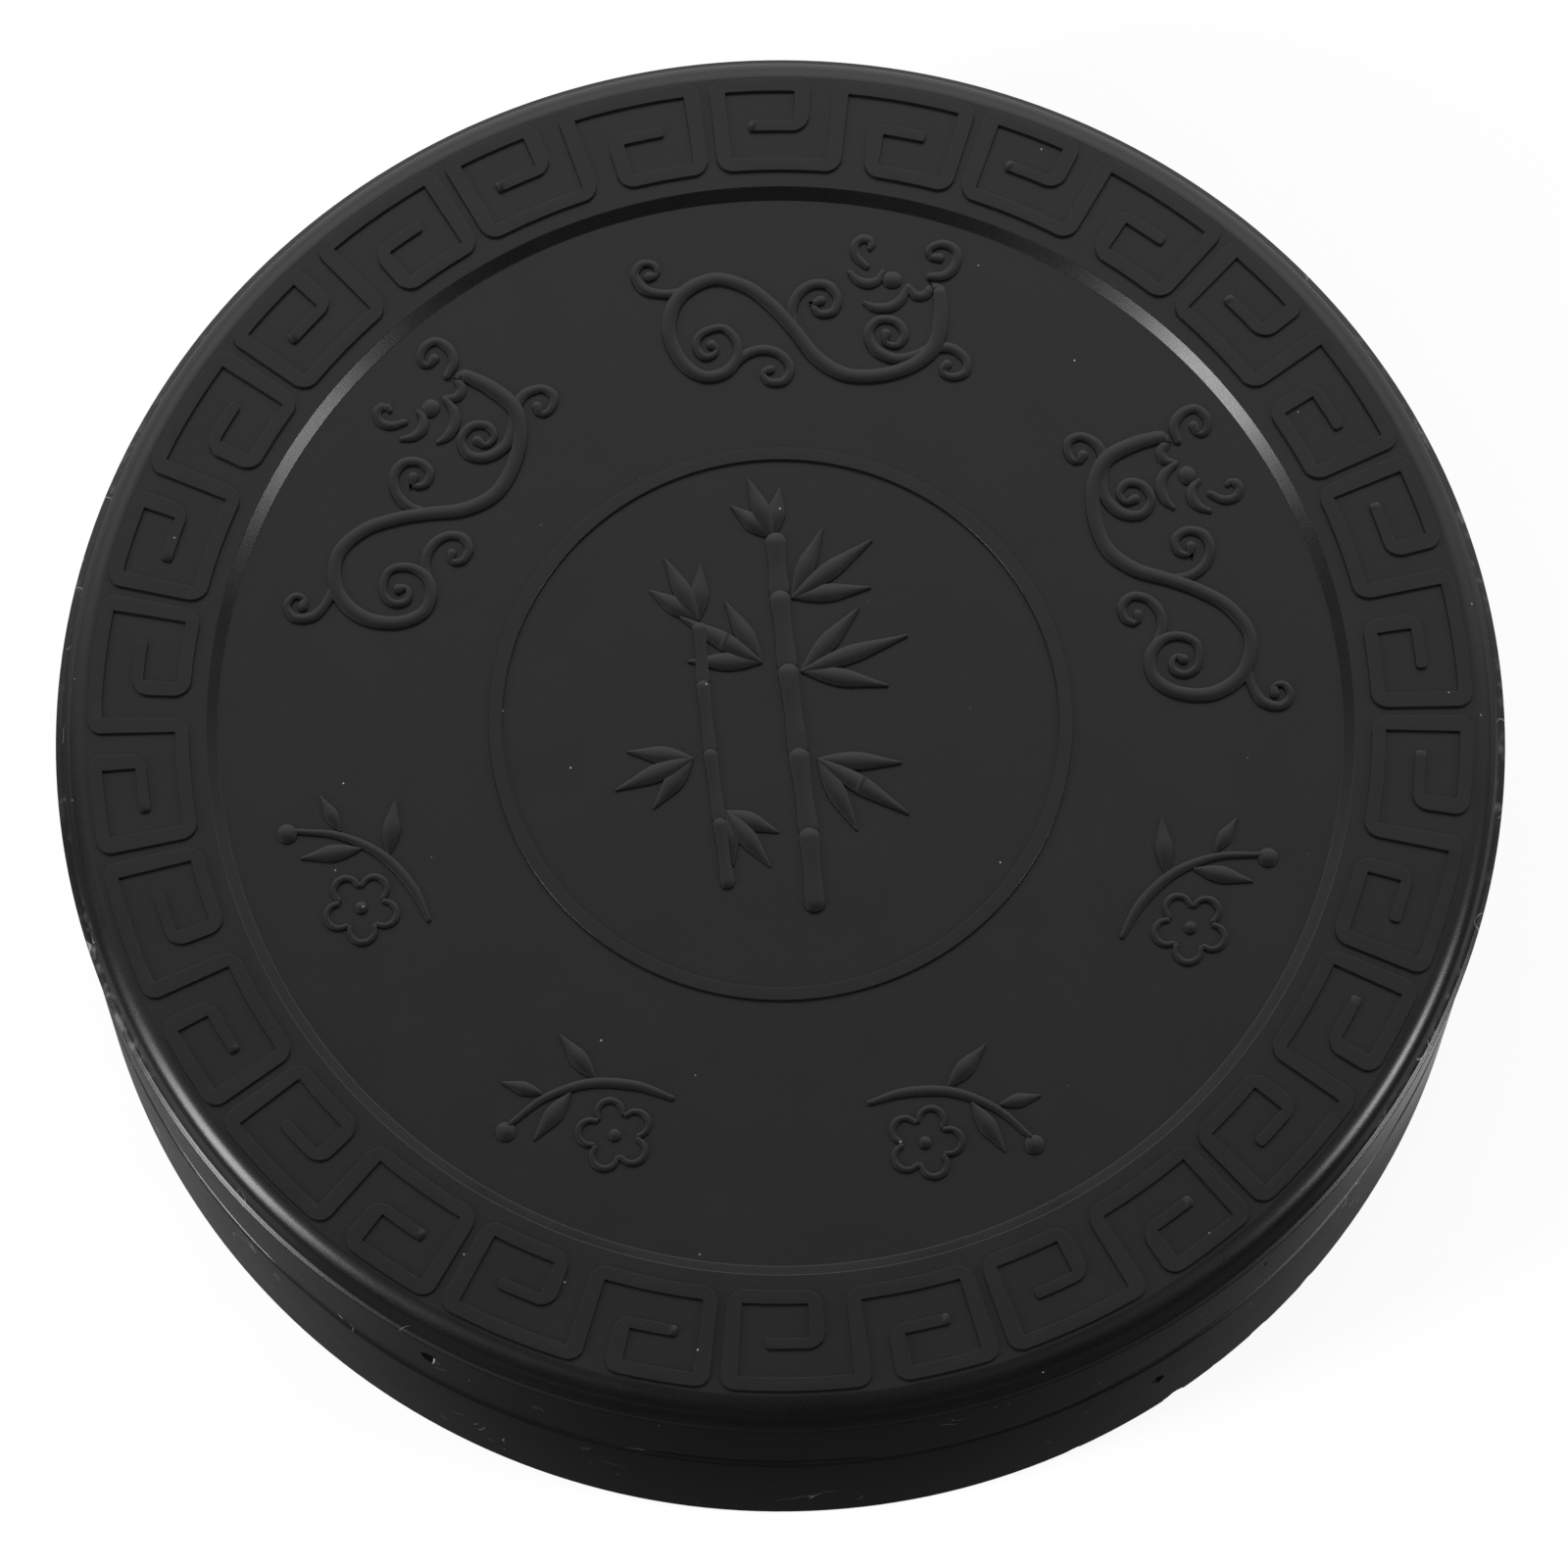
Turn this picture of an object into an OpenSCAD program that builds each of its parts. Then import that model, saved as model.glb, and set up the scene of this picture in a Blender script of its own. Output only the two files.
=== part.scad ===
// Round ink stone with a lift-off lid.
// The stone has a sloping grinding bed and a crescent ink well. The lid drops over a raised lip, and its top has a
// meander border in low relief and a sunk round field with a raised ring.
// Millimetres, +Z up, origin at the centre of the foot. The ink well lies towards +Y.

/* [Lid] */
// Diameter of the lid at the foot of its moulded edge, where it is widest
lid_d = 130.3; // [127:0.1:142]
// Height of the lid, from its seat on the base to its top
lid_h = 16.2; // [14:0.1:22]
// Thickness of the lid's side wall
lid_wall = 5.25; // [4:0.05:6]
// Thickness of the lid's plate under the sunk field
lid_plate = 5; // [3.5:0.1:6.5]
// Rounding of the lid's shoulder, where its top turns down
lid_edge_r = 1.3; // [1:0.1:1.6]
// Height of the moulded edge: the shoulder and the hollow moulding under it
edge_h = 2.6; // [2.5:0.1:4]
// Width of the hollow moulding, from the shoulder to the lid's side
cove_w = 0.95; // [0.6:0.05:1]
// Radius of the hollow moulding
cove_r = 1.35; // [1:0.05:1.4]
// How far the lid's side leans in, from its top edge to the seam
lid_draft = 0.2; // [0:0.05:0.5]
// Rounding of the corner inside the lid
lid_corner_r = 3; // [1:0.5:4]

/* [Sunk field] */
// Depth of the sunk round field
field_depth = 0.9; // [0.6:0.1:2]
// Flat margin between the field's edge and the border
field_margin = 1.4; // [1:0.1:3]
// How far the field's sloping wall runs inwards
field_slope = 1; // [0.4:0.1:1.6]
// Diameter of the raised ring, at the middle of its band
ring_d = 51.2; // [46:0.1:55]
// Width of the ring's band
ring_w = 1.2; // [0.6:0.1:1.6]

/* [Border] */
// Distance from the border's outer edge to the start of the rounded shoulder
border_gap = 0.8; // [0.2:0.1:1]
// Width of the meander border
border_w = 9.1; // [8:0.1:10]
// Number of spiral pairs in the border
key_pairs = 15; // [12:1:17]
// Width of the radial bars
key_bar = 1.4; // [1:0.1:1.6]
// Width of the bands that follow the rim
key_band = 1.25; // [0.9:0.05:1.5]
// Width of the spirals' inner hooks
key_hook = 1; // [0.7:0.05:1.2]
// Angle at which the first spiral pair starts
key_start = 96.6; // [80:0.1:104]

/* [Relief] */
// Height of everything that is raised on the lid
relief_h = 0.4; // [0.2:0.05:0.8]

/* [Base] */
// Height of the base, from the foot to the seat that carries the lid
base_h = 19.8; // [16:0.1:28]
// How far the base's side stands in from the lid's side at the seam
base_step = 0.15; // [0:0.05:0.6]
// How far the base's side leans in, from the seam to the foot
base_draft = 0.25; // [0:0.05:0.6]
// Rounding of the base's lower edge
base_edge_r = 1.5; // [1:0.1:3]
// Small chamfer on both sides of the seam
seam_chamfer = 0.35; // [0.1:0.05:0.6]
// Diameter of the hollow under the foot
foot_hollow_d = 104; // [90:1:112]
// Depth of the hollow under the foot
foot_hollow_h = 0.8; // [0.4:0.1:1.5]

/* [Register lip] */
// Height of the lip above the seat
lip_h = 3; // [2:0.1:4]
// Width of the lip
lip_w = 3; // [2:0.1:4]
// Gap between the lip and the lid's inner wall
lip_gap = 0.4; // [0.2:0.05:0.8]
// Rounding of the lip's top edges
lip_edge_r = 0.8; // [0.2:0.1:0.9]

/* [Bed and well] */
// Thickness of the stone under the ink well
floor_t = 6; // [4:0.1:8]
// Depth of the grinding bed's middle below the seat
bed_depth = 4.8; // [3:0.1:6]
// Slope of the bed towards the well, in degrees
bed_tilt = 2; // [0:0.5:4]
// Radius of the grinding bed
bed_r = 50; // [44:0.5:54]
// Width of the ink well at its widest
well_w = 19; // [14:0.5:24]
// Rounding of the bed's edge
bed_edge_r = 2; // [1:0.1:3]
// Chamfer at the foot of the well's outer wall
well_chamfer = 2; // [1:0.1:3]

/* [Hidden] */
$fn = 96;
stone = [0.17, 0.17, 0.17];
stone_inside = [0.13, 0.13, 0.13];
// Depth that raised ornaments reach into what carries them, and that a cut runs past a face
root = 0.2;
// Points on each rounded corner of the border, and its longest step along the rim in degrees
corner_steps = 3;
rim_step = 4;

// Derived sizes
lid_r = lid_d / 2;
top_z = base_h + lid_h;
shoulder_r = lid_r - cove_w;
cove_z = top_z - edge_h + sqrt(pow(cove_r, 2) - pow(cove_r - cove_w, 2));
field_z = top_z - field_depth;
seam_r = lid_r - lid_draft;
hollow_r = lid_r - lid_wall;
hollow_z = field_z - lid_plate;
key_out = shoulder_r - lid_edge_r - border_gap;
key_in = key_out - border_w;
field_r = key_in - field_margin;
floor_r = field_r - field_slope;
base_r = seam_r - base_step;
lip_r = hollow_r - lip_gap;
basin_r = lip_r - lip_w;
bed_y = basin_r - well_w - bed_r;
bed_z = base_h - bed_depth;

// What lies between a square corner and its rounding, with the corner at the origin and the circle towards +X, +Y.
// Taken away it rounds an outside corner, and added it rounds an inside one.
module corner_web(r) {
    difference() {
        translate([-root, -root]) square(r + root);
        translate([r, r]) circle(r);
    }
}

// The lid's turned cross-section, from the axis outwards
module lid_section() {
    difference() {
        polygon([
            [0, hollow_z], [hollow_r, hollow_z], [hollow_r, base_h],
            [seam_r - seam_chamfer, base_h], [seam_r, base_h + seam_chamfer],
            [lid_r, top_z - edge_h], [lid_r, top_z],
            [field_r, top_z], [floor_r, field_z], [0, field_z]
        ]);
        translate([shoulder_r, top_z]) mirror([1, 0]) mirror([0, 1]) corner_web(lid_edge_r);
        edge_cove();
    }
    translate([hollow_r, hollow_z]) mirror([1, 0]) mirror([0, 1]) corner_web(lid_corner_r);
}

// What is cut away outside the shoulder: straight down, and then out to the lid's side in a hollow moulding
module edge_cove() {
    translate([shoulder_r, cove_z]) {
        square([cove_w + root, top_z + root - cove_z]);
        intersection() {
            translate([cove_r, 0]) circle(cove_r);
            translate([0, -cove_r]) square([cove_w + root, cove_r]);
        }
    }
}

// One pair of spirals as corner points: [share of the pair's angle, height over the inner edge, rounding]
function key_corners() = let (
    a = key_bar / (2 * PI * (key_in + border_w / 2) / key_pairs),
    narrow_end = 0.365, narrow_hook = 0.136, narrow_h = 3.9,
    wide_start = 0.446, wide_core = 0.595, wide_hook = 0.812, wide_end = 0.965, wide_h = 4.3,
    top = border_w, soft = 1.3, softer = 1.6
) [
    [narrow_hook, narrow_h, 0.3], [narrow_end, narrow_h, softer], [narrow_end, top, soft], [0, top, soft],
    [0, 0, softer], [wide_start + a, 0, softer], [wide_start + a, top - key_band, 0],
    [wide_end - a, top - key_band, 0], [wide_end - a, key_band, 0], [wide_core + a, key_band, 0],
    [wide_core + a, wide_h, 0], [wide_hook, wide_h, 0.3], [wide_hook, wide_h + key_hook, 0.3],
    [wide_core, wide_h + key_hook, softer], [wide_core, 0, softer], [wide_end, 0, softer],
    [wide_end, top, soft], [wide_start, top, soft], [wide_start, key_band, 0], [a, key_band, 0],
    [a, top - key_band, 0], [narrow_end - a, top - key_band, 0], [narrow_end - a, narrow_h + key_hook, 0],
    [narrow_hook, narrow_h + key_hook, 0.3]
];

// The same corners as [angle, radius, rounding]
function key_polar() = [for (c = key_corners()) [c[0] * 360 / key_pairs, key_in + c[1], c[2]]];

// Points round one corner, whose sides run along the rim and across it
function round_corner(before, at, after) = let (
    across = 180 / PI / at[1],
    arrive = [sign(at[0] - before[0]) * across, sign(at[1] - before[1])],
    leave = [sign(after[0] - at[0]) * across, sign(after[1] - at[1])],
    corner = [at[0], at[1]]
) at[2] == 0 ? [corner] : [
    for (i = [0 : corner_steps]) let (t = 90 * i / corner_steps)
        corner - arrive * at[2] * (1 - sin(t)) + leave * at[2] * (1 - cos(t))
];

// A closed [angle, radius] outline with extra points where it runs along the rim
function follow_rim(line) = [
    for (i = [0 : len(line) - 1]) let (
        from = line[i], to = line[(i + 1) % len(line)],
        n = max(1, ceil(abs(to[0] - from[0]) / rim_step))
    ) for (k = [0 : n - 1]) from + (to - from) * k / n
];

function key_outline() = let (c = key_polar(), n = len(c)) follow_rim([
    for (i = [0 : n - 1]) each round_corner(c[(i + n - 1) % n], c[i], c[(i + 1) % n])
]);

// One pair of meander spirals, clockwise from an angle
module key_pair(start) {
    linear_extrude(relief_h + root)
        polygon([for (p = key_outline()) p[1] * [cos(start - p[0]), sin(start - p[0])]]);
}

module border() {
    translate([0, 0, top_z - root])
        for (i = [0 : key_pairs - 1]) key_pair(key_start - i * 360 / key_pairs);
}

module ring() {
    translate([0, 0, field_z - root]) difference() {
        cylinder(h = relief_h + root, d = ring_d + ring_w);
        translate([0, 0, -root]) cylinder(h = relief_h + 3 * root, d = ring_d - ring_w);
    }
}

module lid() {
    color(stone) union() {
        rotate_extrude() lid_section();
        border();
        ring();
    }
}

// The base's turned cross-section with its basin cut straight down, from the axis outwards
module base_section() {
    difference() {
        polygon([
            [0, foot_hollow_h], [foot_hollow_d / 2 - foot_hollow_h, foot_hollow_h], [foot_hollow_d / 2, 0],
            [base_r - base_draft, 0], [base_r, base_h - seam_chamfer], [base_r - seam_chamfer, base_h],
            [lip_r, base_h], [lip_r, base_h + lip_h], [0, base_h + lip_h]
        ]);
        translate([base_r - base_draft, 0]) mirror([1, 0]) corner_web(base_edge_r);
        translate([lip_r, base_h + lip_h]) mirror([1, 0]) mirror([0, 1]) corner_web(lip_edge_r);
    }
}

// Everything that is taken out of the base above the well's floor
module basin() {
    difference() {
        rotate_extrude() {
            difference() {
                translate([0, floor_t]) square([basin_r, base_h + lip_h + root - floor_t]);
                translate([basin_r, floor_t]) rotate(45) square(well_chamfer * sqrt(2), center = true);
            }
            // The lip's inner edge is rounded as its outer one is
            translate([basin_r, base_h + lip_h]) difference() {
                translate([-root, -lip_edge_r]) square([lip_edge_r + root, lip_edge_r + root]);
                translate([lip_edge_r, -lip_edge_r]) circle(lip_edge_r);
            }
        }
        bed();
    }
}

// The grinding bed: a round table with a rounded edge, tilted towards the well
module bed() {
    translate([0, bed_y, bed_z]) rotate([-bed_tilt, 0, 0]) rotate_extrude() difference() {
        translate([0, -base_h]) square([bed_r, base_h]);
        translate([bed_r, 0]) mirror([1, 0]) mirror([0, 1]) corner_web(bed_edge_r);
    }
}

module base() {
    color(stone_inside) difference() {
        rotate_extrude() base_section();
        basin();
    }
}

base();
lid();
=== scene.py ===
"""Looks of a round ink stone with a lift-off lid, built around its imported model.

The lid, its meander border, its raised ring and ornaments, and the dished base are classes that model
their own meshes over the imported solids. Lengths are in millimetres until a mesh is finished, and then in
metres. +Z is up, the ink well lies towards +Y, and the lid is read from -Y.
"""

import logging
import math
from collections.abc import Iterable, Sequence
from dataclasses import dataclass
from enum import Enum

import bmesh
import bpy
from bmesh.types import BMEdge, BMesh, BMFace, BMVert
from bpy.types import Material, NodeSocket, Object
from mathutils import Matrix, Vector
from mathutils.noise import noise


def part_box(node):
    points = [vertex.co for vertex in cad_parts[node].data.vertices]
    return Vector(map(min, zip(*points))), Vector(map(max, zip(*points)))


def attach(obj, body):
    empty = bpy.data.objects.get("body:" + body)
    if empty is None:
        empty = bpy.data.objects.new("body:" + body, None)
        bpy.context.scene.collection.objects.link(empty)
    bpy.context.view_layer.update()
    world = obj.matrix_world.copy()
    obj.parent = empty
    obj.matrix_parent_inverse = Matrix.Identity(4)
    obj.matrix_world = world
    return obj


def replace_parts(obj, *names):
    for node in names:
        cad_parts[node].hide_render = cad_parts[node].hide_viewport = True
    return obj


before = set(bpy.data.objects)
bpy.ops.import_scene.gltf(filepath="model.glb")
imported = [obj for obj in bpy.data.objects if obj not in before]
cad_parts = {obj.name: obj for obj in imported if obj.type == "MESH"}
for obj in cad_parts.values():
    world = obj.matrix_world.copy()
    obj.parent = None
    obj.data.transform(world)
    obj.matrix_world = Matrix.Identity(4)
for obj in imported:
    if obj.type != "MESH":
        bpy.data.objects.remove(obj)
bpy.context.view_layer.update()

log = logging.getLogger("ink_stone")

MM = 0.001
WELD = 1e-4
TURN_STEPS = 256
SHARP_ANGLE = math.radians(35)


class Body(Enum):
    """The part's bodies, which the pieces ride on."""

    BASE = "base"
    LID = "lid"


class Slot(Enum):
    """Names of the two stone finishes, which their materials' names carry."""

    BASE = "base_stone"
    LID = "lid_stone"


class Hand(Enum):
    """Whether an ornament stands as it is drawn or mirrored left to right."""

    DRAWN = 1
    MIRRORED = -1


class Join(Enum):
    """What becomes of two closed shapes that meet."""

    UNION = "UNION"
    DIFFERENCE = "DIFFERENCE"


# Finishes


class Graph:
    """A material's or the world's node tree, with short ways to add nodes and join them."""

    def __init__(self, owner: Material | bpy.types.World, coordinates: str = "Object") -> None:
        """Empties the owner's node tree and finds the place that its patterns go by.

        Args:
            owner: what the nodes belong to.
            coordinates: the kind of coordinates that give the place.
        """
        owner.use_nodes = True
        self.tree = owner.node_tree
        self.tree.nodes.clear()
        self.place = self.add("TexCoord").outputs[coordinates]
        self.x, self.y, self.z = self.add("SeparateXYZ", {0: self.place}).outputs

    def add(self, kind: str, inputs: dict[str | int, object] | None = None,
            **settings: object) -> bpy.types.Node:
        """Adds a node.

        Args:
            kind: the node's type name, without its ShaderNode prefix.
            inputs: a value, or the socket that gives it, for each named or numbered input.
            settings: the node's own properties.

        Returns:
            The new node.
        """
        node = self.tree.nodes.new("ShaderNode" + kind)
        for key, value in settings.items():
            setattr(node, key, value)
        for key, value in (inputs or {}).items():
            if isinstance(value, NodeSocket):
                self.tree.links.new(value, node.inputs[key])
            else:
                node.inputs[key].default_value = value
        return node

    def math(self, operation: str, first: object, second: object = 0.0, clamp: bool = False) -> NodeSocket:
        """Does a sum on numbers or sockets and returns its result."""
        return self.add("Math", {0: first, 1: second}, operation=operation, use_clamp=clamp).outputs[0]

    def plus(self, first: object, second: object) -> NodeSocket:
        """Adds two numbers or sockets."""
        return self.math("ADD", first, second)

    def times(self, first: object, second: object) -> NodeSocket:
        """Multiplies two numbers or sockets."""
        return self.math("MULTIPLY", first, second)

    def most(self, first: object, second: object) -> NodeSocket:
        """Gives the greater of two numbers or sockets."""
        return self.math("MAXIMUM", first, second)

    def distance(self, x: float = 0.0, y: float = 0.0) -> NodeSocket:
        """Gives the level distance from an upright line, in metres."""
        flat = self.add("VectorMath", {0: self.place, 1: (1, 1, 0)}, operation="MULTIPLY").outputs[0]
        return self.add("VectorMath", {0: flat, 1: (x, y, 0)}, operation="DISTANCE").outputs["Value"]

    def noise(self, size: float, detail: float = 2.0, distortion: float = 0.0,
              shift: tuple[float, float, float] = (0, 0, 0)) -> NodeSocket:
        """Gives soft noise from 0 to 1.

        Args:
            size: the size of one patch, in millimetres.
            detail: how many finer layers lie on it.
            distortion: how far it is bent.
            shift: how far it is moved, in metres.

        Returns:
            The noise's value.
        """
        place = self.add("VectorMath", {0: self.place, 1: shift}, operation="ADD").outputs[0]
        inputs = {"Vector": place, "Scale": 1 / (size * MM), "Detail": detail, "Distortion": distortion}
        return self.add("TexNoise", inputs).outputs["Fac"]

    def band(self, value: NodeSocket, low: float, high: float,
             start: float = 0.0, end: float = 1.0) -> NodeSocket:
        """Takes a value from low..high smoothly to start..end."""
        inputs = {"Value": value, "From Min": low, "From Max": high, "To Min": start, "To Max": end}
        return self.add("MapRange", inputs, interpolation_type="SMOOTHSTEP").outputs["Result"]

    def blend(self, share: object, first: object, second: object) -> NodeSocket:
        """Mixes two colours by a share."""
        inputs = {0: share, 6: first, 7: second}
        return self.add("Mix", inputs, data_type="RGBA").outputs[2]


@dataclass(frozen=True)
class StoneFinish:
    """Satin black stone: fine ground grain, dull patches, dust specks and hairline scratches on its upright
    side, with a painted sheen on the left and right of that side and a painted highlight line along the
    base's top edge.

    Sizes are in millimetres, and colours are linear.
    """

    slot: Slot
    dark: float = 0.0055
    pale: float = 0.0079
    scuff_and_sheen: float = 0.3
    dust: float = 0.5
    roughness: float = 0.28
    specular: float = 0.5
    roughness_less: float = 0.03
    roughness_more: float = 0.04
    scuff_and_sheen_roughness: float = 0.25
    grain_size: float = 0.13
    grain_depth: float = 0.002
    swell_size: float = 3.0
    swell_depth: float = 0.004
    cloud_size: float = 7.0
    side_radius: float = 64.4
    flank_start: float = 42.0
    flank_full: float = 62.0
    # The next two values place and brighten a painted highlight line along the base's top edge, just under
    # the seat.
    highlight_height: float = 0.0
    highlight_level: float = 0.32
    hair_size: float = 4.0
    hair_width: float = 0.01
    hair_gain: float = 0.09
    # The next three values size and strengthen a painted mottled sheen on the left and right of the upright
    # side, where the lamps light it.
    mottle_size: float = 1.1
    patch_size: float = 6.0
    sheen_level: float = 0.5
    speck_spacing: float = 3.0
    speck_radius: float = 0.11
    speck_level: float = 0.8

    def grey(self, value: float) -> tuple[float, float, float, float]:
        """A neutral linear colour."""
        return (value, value, value * 1.01, 1.0)

    def side_mask(self, graph: Graph) -> NodeSocket:
        """Is 1 on the upright outer side and 0 elsewhere."""
        return graph.band(graph.distance(), (self.side_radius - 0.2) * MM, (self.side_radius + 0.1) * MM)

    def flank_mask(self, graph: Graph) -> NodeSocket:
        """Rises to 1 towards the left and right, where the hairlines thicken and the painted sheen lies."""
        return graph.band(graph.math("ABSOLUTE", graph.x), self.flank_start * MM, self.flank_full * MM)

    def painted_seam_highlight(self, graph: Graph) -> NodeSocket:
        """Is highest on a painted highlight, a pale line along the edge just under the given height, at the
        front right.

        Args:
            graph: the material's nodes.

        Returns:
            The mask's value.
        """
        # Painted highlight: a thin pale line just under the given height, at the front right.
        below = graph.math("SUBTRACT", graph.z, (self.highlight_height - 0.15) * MM)
        line = graph.band(graph.math("ABSOLUTE", below), 0.05 * MM, 0.18 * MM, self.highlight_level, 0.0)
        right = graph.band(graph.x, 36 * MM, 50 * MM)
        front = graph.band(graph.y, -37 * MM, -30 * MM, 1.0, 0.0)
        return graph.times(line, graph.times(right, front))

    def hairlines(self, graph: Graph, share: NodeSocket) -> NodeSocket:
        """Draws short curved hairlines, the contour lines of one noise cut short by another.

        Args:
            graph: the material's nodes.
            share: what is added to the second noise, which shows lines where it is above 0.68.

        Returns:
            The lines' value, 1 on a line.
        """
        contour = graph.math("SUBTRACT", graph.noise(self.hair_size, 1.0, 0.6), 0.5)
        line = graph.band(graph.math("ABSOLUTE", contour), 0.0, self.hair_width, 1.0, 0.0)
        window = graph.plus(graph.noise(self.hair_size * 1.3, 1.0, shift=(0.31, 0.17, 0.23)), share)
        return graph.times(line, graph.band(window, 0.68, 0.72))

    def scuffs_and_sheen(self, graph: Graph) -> NodeSocket:
        """Marks the upright side with hairline scratches, denser towards the left and right, with a painted
        mottled sheen on the left and right where the lamps light that side, and with the painted highlight
        line.

        Args:
            graph: the material's nodes.

        Returns:
            The marks' value, 1 where a scratch, the painted sheen or the painted highlight is full.
        """
        flanks = self.flank_mask(graph)
        hair = self.hairlines(graph, graph.times(flanks, self.hair_gain))
        mottle = graph.band(graph.noise(self.mottle_size, 6.0), 0.45, 0.8)
        # Painted sheen: pale mottled spots on the left and right of the side, where the lamps light it.
        patches = graph.times(graph.band(graph.noise(self.patch_size, 2.0), 0.42, 0.62), flanks)
        painted_sheen = graph.times(graph.times(mottle, patches), self.sheen_level)
        wear_and_sheen = graph.most(graph.most(hair, painted_sheen), self.painted_seam_highlight(graph))
        return graph.times(self.side_mask(graph), wear_and_sheen)

    def specks(self, graph: Graph) -> NodeSocket:
        """Scatters a few dust specks.

        Args:
            graph: the material's nodes.

        Returns:
            The specks' value, 1 on a speck.
        """
        spacing, reach = self.speck_spacing, self.speck_radius / self.speck_spacing
        inputs = {"Vector": graph.place, "Scale": 1 / (spacing * MM), "Randomness": 1.0}
        cells = graph.add("TexVoronoi", inputs)
        near = graph.band(cells.outputs["Distance"], reach * 0.4, reach, 1.0, 0.0)
        chance = graph.add("SeparateColor", {0: cells.outputs["Color"]}).outputs[0]
        return graph.times(near, graph.band(chance, 0.55, 0.57))

    def material(self) -> Material:
        """Builds the finish's material, or finds the one already built.

        Returns:
            The material.
        """
        name = f"finish_{self.slot.value}"
        made = bpy.data.materials.get(name)
        if made:
            return made
        made = bpy.data.materials.new(name)
        graph = Graph(made)

        grain = graph.noise(self.grain_size, 3.0)
        cloud = graph.noise(self.cloud_size, 4.0)
        swell = graph.noise(self.swell_size, 2.0)
        wear_and_sheen = self.scuffs_and_sheen(graph)
        dust = graph.times(self.specks(graph), self.speck_level)

        tone = graph.plus(graph.times(grain, 0.75), graph.times(cloud, 0.25))
        colour = graph.blend(graph.band(tone, 0.35, 0.65), self.grey(self.dark), self.grey(self.pale))
        # The scratches, the painted sheen and the painted highlight line all blend towards one pale grey
        # here.
        colour = graph.blend(wear_and_sheen, colour, self.grey(self.scuff_and_sheen))
        colour = graph.blend(dust, colour, self.grey(self.dust))

        dull = graph.plus(graph.times(cloud, 0.35), graph.times(grain, 0.65))
        dull = graph.band(dull, 0.3, 0.7, self.roughness - self.roughness_less,
                          self.roughness + self.roughness_more)
        dull = graph.plus(dull, graph.times(wear_and_sheen, self.scuff_and_sheen_roughness))

        fine = graph.add("Bump", {"Height": grain, "Distance": self.grain_depth * MM, "Strength": 1.0})
        wide = graph.add("Bump", {"Height": swell, "Distance": self.swell_depth * MM, "Strength": 1.0,
                                  "Normal": fine.outputs["Normal"]})
        shader = graph.add("BsdfPrincipled", {
            "Base Color": colour, "Roughness": dull, "Normal": wide.outputs["Normal"],
            "Specular IOR Level": self.specular, "IOR": 1.5})
        graph.add("OutputMaterial", {"Surface": shader.outputs[0]})
        return made


# Modelling


@dataclass(frozen=True)
class Corner:
    """A corner of a drawn outline, in millimetres: across, up, and its rounding."""

    across: float
    up: float
    rounding: float = 0.0


def draw_outline(bm: BMesh, corners: Sequence[Corner], axes: Matrix, closed: bool) -> list[BMEdge]:
    """Draws an outline of straight edges and rounds its corners.

    Args:
        bm: the mesh to draw in.
        corners: the outline's corners, in order.
        axes: turns a drawing point (across, up, 0) to its place in the mesh.
        closed: whether the last corner joins the first.

    Returns:
        The outline's edges.
    """
    verts = [bm.verts.new(axes @ Vector((c.across, c.up, 0.0))) for c in corners]
    followers = verts[1:] + verts[:1] if closed else verts[1:]
    for vert, follower in zip(verts, followers):
        bm.edges.new((vert, follower))
    for vert, corner in zip(verts, corners):
        if not corner.rounding:
            continue
        arms = [edge.other_vert(vert).co - vert.co for edge in vert.link_edges]
        half_turn = (math.pi - arms[0].angle(arms[1])) / 2
        bmesh.ops.bevel(bm, geom=[vert], offset=corner.rounding * math.tan(half_turn), offset_type="OFFSET",
                        segments=max(3, round(corner.rounding * 8)), profile=0.5, affect="VERTICES",
                        material=-1)
    return bm.edges[:]


def turned(corners: Sequence[Corner], closed: bool = False) -> BMesh:
    """Spins a cross-section once round the Z axis.

    Args:
        corners: the cross-section's corners, with the radius across and the height up.
        closed: whether the cross-section is a closed ring that stays clear of the axis.

    Returns:
        The turned shape, closed and with its faces pointing outwards.
    """
    bm = bmesh.new()
    draw_outline(bm, corners, Matrix.Rotation(math.radians(90), 4, "X"), closed)
    bmesh.ops.spin(bm, geom=bm.verts[:] + bm.edges[:], cent=(0, 0, 0), axis=(0, 0, 1), angle=math.tau,
                   steps=TURN_STEPS, use_merge=True)
    bmesh.ops.remove_doubles(bm, verts=bm.verts, dist=WELD)
    bmesh.ops.recalc_face_normals(bm, faces=bm.faces)
    return bm


def raise_faces(bm: BMesh, faces: list[BMFace], height: float) -> list[BMFace]:
    """Raises flat faces into a closed block.

    Args:
        bm: the mesh that holds them.
        faces: the faces, all at one height.
        height: how far up they go.

    Returns:
        The block's top faces.
    """
    level = faces[0].verts[0].co.z
    raised = bmesh.ops.extrude_face_region(bm, geom=faces)["geom"]
    bmesh.ops.translate(bm, vec=(0, 0, height), verts=[g for g in raised if isinstance(g, BMVert)])
    tops = [g for g in raised if isinstance(g, BMFace)]
    return [face for face in tops if face.calc_center_median().z > level + height * 0.9]


def soften_rim(bm: BMesh, tops: list[BMFace], size: float) -> None:
    """Rounds the rim round some top faces.

    Args:
        bm: the mesh that holds them.
        tops: the top faces.
        size: the rounding, in millimetres.
    """
    inside = set(tops)
    rim = [edge for edge in {e for face in tops for e in face.edges}
           if sum(face in inside for face in edge.link_faces) == 1]
    bmesh.ops.bevel(bm, geom=rim, offset=size, offset_type="OFFSET", segments=2, profile=0.5, affect="EDGES",
                    clamp_overlap=False, material=-1)


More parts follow.
